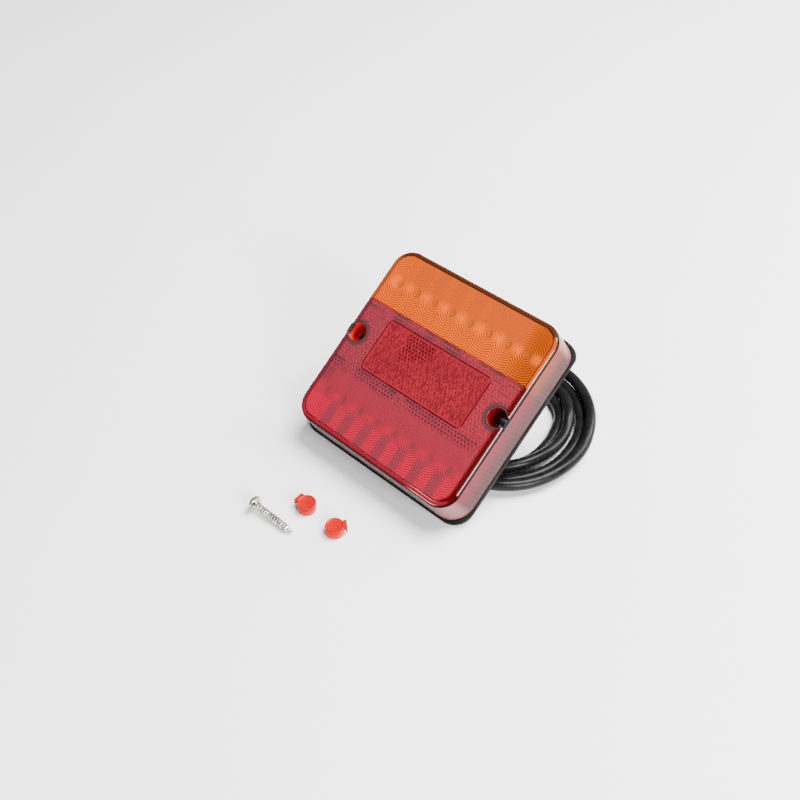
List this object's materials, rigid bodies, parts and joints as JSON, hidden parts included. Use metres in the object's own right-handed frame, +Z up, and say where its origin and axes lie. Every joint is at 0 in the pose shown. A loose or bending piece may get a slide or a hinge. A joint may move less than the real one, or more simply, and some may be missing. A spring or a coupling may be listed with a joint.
{
  "type": "trailer tail light",
  "caption": "Square surface-mount trailer rear lamp with an amber turn strip, a red stop and tail field, a reflex reflector and a coiled cable, with its loose screw and screw caps.",
  "frame": {"origin": "on the ground, under the middle of the box round the lamp and its loose screw and caps; the cable isn't counted", "axes": "+Z up from the ground, +X across the lamp's face, +Y from the loose pieces in front to behind the lamp, which leans back on its cable at 34.1 degrees from flat"},
  "size_m": [0.1255, 0.1961, 0.0749],
  "materials": {
    "clear_wall": "clear moulded acrylic with a slight smoke tint",
    "amber_lens": "moulded amber acrylic",
    "red_lens": "moulded red acrylic",
    "reflector_red": "red acrylic with prism cells behind a smooth face",
    "cap_red": "translucent red acrylic",
    "black_plastic": "moulded black plastic, fine grain",
    "black_rubber": "moulded rubber",
    "foam": "closed-cell foam strip",
    "cable_jacket": "satin black cable jacket",
    "pale_plastic": "matt pale moulded plastic",
    "board": "green solder mask",
    "led_lens": "clear dome over a phosphor chip",
    "component": "black moulded component body",
    "resin": "poured potting resin",
    "nickel": "bright nickel plate",
    "core_earth": "white core insulation",
    "core_tail": "brown core insulation",
    "core_stop": "red core insulation",
    "core_turn": "yellow core insulation",
    "copper": "bare stranded copper"
  },
  "bodies": {
    "lamp": {"side_wall": "clear_wall", "lens_amber": "amber_lens", "lens_red": "red_lens", "reflex_reflector": "reflector_red", "rear_housing": "black_plastic", "lens_seal": "black_rubber", "mounting_gasket": "foam", "screw_sleeve_left": "red_lens", "screw_sleeve_right": "red_lens", "light_baffle": "pale_plastic", "circuit_board": "board", "led_amber_1": "led_lens", "led_amber_2": "led_lens", "led_amber_3": "led_lens", "led_amber_4": "led_lens", "led_amber_5": "led_lens", "led_amber_6": "led_lens", "led_amber_7": "led_lens", "led_amber_8": "led_lens", "led_red_1": "led_lens", "led_red_2": "led_lens", "led_red_3": "led_lens", "led_red_4": "led_lens", "led_red_5": "led_lens", "led_red_6": "led_lens", "led_red_7": "led_lens", "led_red_8": "led_lens", "resistor_1": "component", "resistor_2": "component", "resistor_3": "component", "resistor_4": "component", "diode_1": "component", "diode_2": "component", "board_screw_left": "nickel", "board_screw_right": "nickel", "potting_resin": "resin", "inner_core_earth": "core_earth", "inner_core_tail": "core_tail", "inner_core_stop": "core_stop", "inner_core_turn": "core_turn", "cable_grommet": "black_rubber", "strain_relief": "black_rubber", "cable_lead": "cable_jacket", "cable_coil": "cable_jacket", "cable_tail": "cable_jacket", "core_earth": "core_earth", "core_tail": "core_tail", "core_stop": "core_stop", "core_turn": "core_turn", "core_end_earth": "copper", "core_end_tail": "copper", "core_end_stop": "copper", "core_end_turn": "copper"},
    "mounting_screw": {"mounting_screw": "nickel"},
    "screw_cap_left": {"screw_cap_left": "cap_red"},
    "screw_cap_right": {"screw_cap_right": "cap_red"}
  },
  "joints": [
    {"name": "mounting_screw_lift", "type": "slide", "parent": "lamp", "child": "mounting_screw", "axis": [0, 0, 1], "range_m": [0, 0.08]},
    {"name": "screw_cap_left_lift", "type": "slide", "parent": "lamp", "child": "screw_cap_left", "axis": [0, 0, 1], "range_m": [0, 0.08]},
    {"name": "screw_cap_right_lift", "type": "slide", "parent": "lamp", "child": "screw_cap_right", "axis": [0, 0, 1], "range_m": [0, 0.08]}
  ]
}
